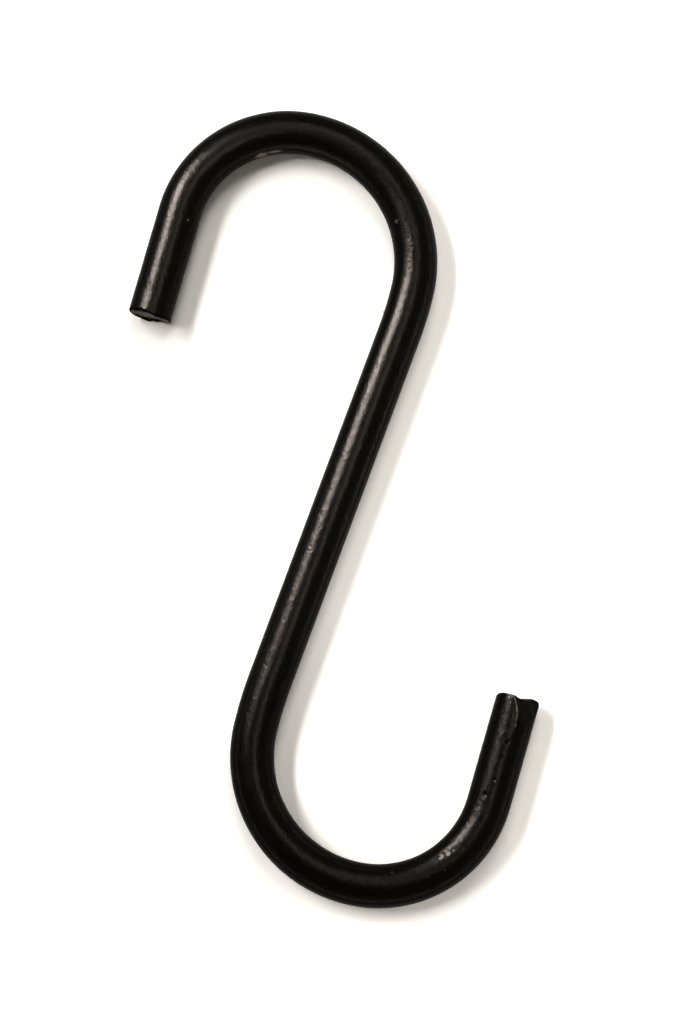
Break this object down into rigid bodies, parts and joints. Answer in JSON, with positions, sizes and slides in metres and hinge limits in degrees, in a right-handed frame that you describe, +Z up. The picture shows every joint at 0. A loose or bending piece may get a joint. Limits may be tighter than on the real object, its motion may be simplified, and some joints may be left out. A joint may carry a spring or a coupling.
{
  "type": "s hook",
  "caption": "S-shaped hook of round steel bar, bent cold with sheared ends and coated satin black, for hanging things from a rail or rod.",
  "frame": {"origin": "middle of the hook's box, at the surface that it lies on", "axes": "+Z up off the surface, +Y along the shank towards the upper hook, +X towards the side of the lower hook's leg"},
  "size_m": [0.074, 0.1016, 0.006],
  "materials": {
    "coated_bar": "satin black coat with a fine grain"
  },
  "bodies": {
    "root": {"hook": "coated_bar"}
  },
  "joints": []
}
